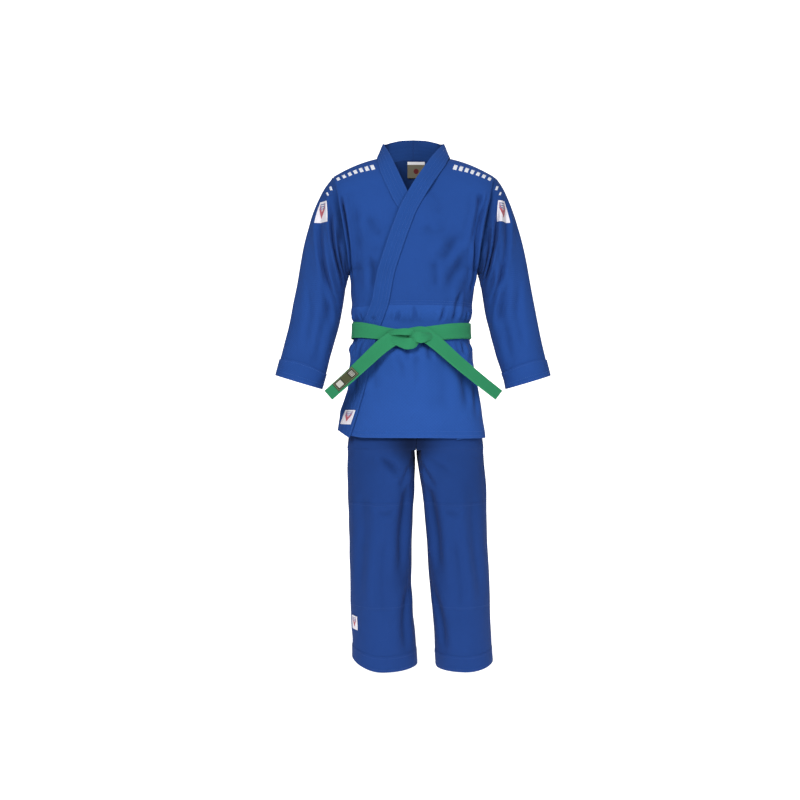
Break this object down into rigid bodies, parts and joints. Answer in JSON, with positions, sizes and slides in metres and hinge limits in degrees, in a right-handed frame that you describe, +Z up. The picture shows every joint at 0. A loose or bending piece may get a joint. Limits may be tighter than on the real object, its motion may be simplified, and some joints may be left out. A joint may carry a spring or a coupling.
{
  "type": "judo uniform",
  "caption": "Judo uniform in its worn shape: a crossed-lapel jacket with a knotted belt over separate straight trousers.",
  "frame": {"origin": "middle of the neck opening, level with the shoulder line beside the neck, where the wearer's shoulders hold the jacket up", "axes": "+Z up; the wearer faces -Y; the wearer's left side is +X"},
  "size_m": [0.7074, 0.2532, 1.3565],
  "materials": {
    "jacket_weave": "blue cotton double weave with a fine raised grain, matt",
    "skirt_cloth": "blue cotton diamond weave, matt, slightly lighter",
    "lapel_cloth": "thick folded blue cotton with parallel rows of stitching",
    "lining_cotton": "plain blue cotton lining, matt",
    "trouser_twill": "dark blue cotton twill, matt",
    "belt_cotton": "green cotton webbing with lengthwise rows of stitching",
    "embroidery": "white satin stitch",
    "woven_badge": "woven badge, pale with muted red and grey threads",
    "belt_label": "woven label, black and olive with a pale edge"
  },
  "bodies": {
    "jacket": {"front_panel_left": "jacket_weave", "front_panel_right": "jacket_weave", "back_panel_left": "jacket_weave", "back_panel_right": "jacket_weave", "skirt_front_left": "skirt_cloth", "skirt_front_right": "skirt_cloth", "skirt_back_left": "skirt_cloth", "skirt_back_right": "skirt_cloth", "lapel_band_left": "lapel_cloth", "lapel_band_right": "lapel_cloth", "shoulder_lining_left": "lining_cotton", "shoulder_lining_right": "lining_cotton", "shoulder_mark_left": "embroidery", "shoulder_mark_right": "embroidery", "vent_stay_left": "skirt_cloth", "vent_stay_right": "skirt_cloth", "neck_label": "woven_badge", "hem_badge": "woven_badge", "belt_inner_turn": "belt_cotton", "belt_outer_turn": "belt_cotton", "belt_knot": "belt_cotton"},
    "sleeve_left": {"sleeve_left": "jacket_weave", "cuff_band_left": "jacket_weave", "underarm_gusset_left": "jacket_weave", "shoulder_badge_left": "woven_badge"},
    "sleeve_right": {"sleeve_right": "jacket_weave", "cuff_band_right": "jacket_weave", "underarm_gusset_right": "jacket_weave", "shoulder_badge_right": "woven_badge"},
    "belt_tail_left": {"belt_tail_left": "belt_cotton"},
    "belt_tail_right": {"belt_tail_right": "belt_cotton", "belt_label": "belt_label"},
    "trousers": {"waistband": "trouser_twill", "waistband_loop_left": "trouser_twill", "waistband_loop_right": "trouser_twill", "seat_left": "trouser_twill", "seat_right": "trouser_twill", "crotch_gusset": "trouser_twill"},
    "leg_left": {"trouser_leg_left": "trouser_twill", "leg_hem_band_left": "trouser_twill", "knee_patch_left": "trouser_twill"},
    "leg_right": {"trouser_leg_right": "trouser_twill", "leg_hem_band_right": "trouser_twill", "knee_patch_right": "trouser_twill", "leg_badge": "woven_badge"}
  },
  "joints": [
    {"name": "sleeve_left_raise", "type": "hinge", "parent": "jacket", "child": "sleeve_left", "pos_m": [0.203, 0, -0.039], "axis": [0, -1, 0], "range_deg": [0, 60]},
    {"name": "sleeve_right_raise", "type": "hinge", "parent": "jacket", "child": "sleeve_right", "pos_m": [-0.203, 0, -0.039], "axis": [0, 1, 0], "range_deg": [0, 60]},
    {"name": "belt_tail_left_drop", "type": "hinge", "parent": "jacket", "child": "belt_tail_left", "pos_m": [0.012, -0.118, -0.46], "axis": [0, 1, 0], "range_deg": [-10, 50]},
    {"name": "belt_tail_right_drop", "type": "hinge", "parent": "jacket", "child": "belt_tail_right", "pos_m": [-0.044, -0.118, -0.46], "axis": [0, -1, 0], "range_deg": [-10, 50]},
    {"name": "trousers_slide", "type": "slide", "parent": "jacket", "child": "trousers", "axis": [0, 0, -1], "range_m": [0, 0.35]},
    {"name": "leg_left_swing", "type": "hinge", "parent": "trousers", "child": "leg_left", "pos_m": [0, 0, -0.737], "axis": [-1, 0, 0], "range_deg": [-15, 30]},
    {"name": "leg_right_swing", "type": "hinge", "parent": "trousers", "child": "leg_right", "pos_m": [0, 0, -0.737], "axis": [-1, 0, 0], "range_deg": [-15, 30]}
  ]
}
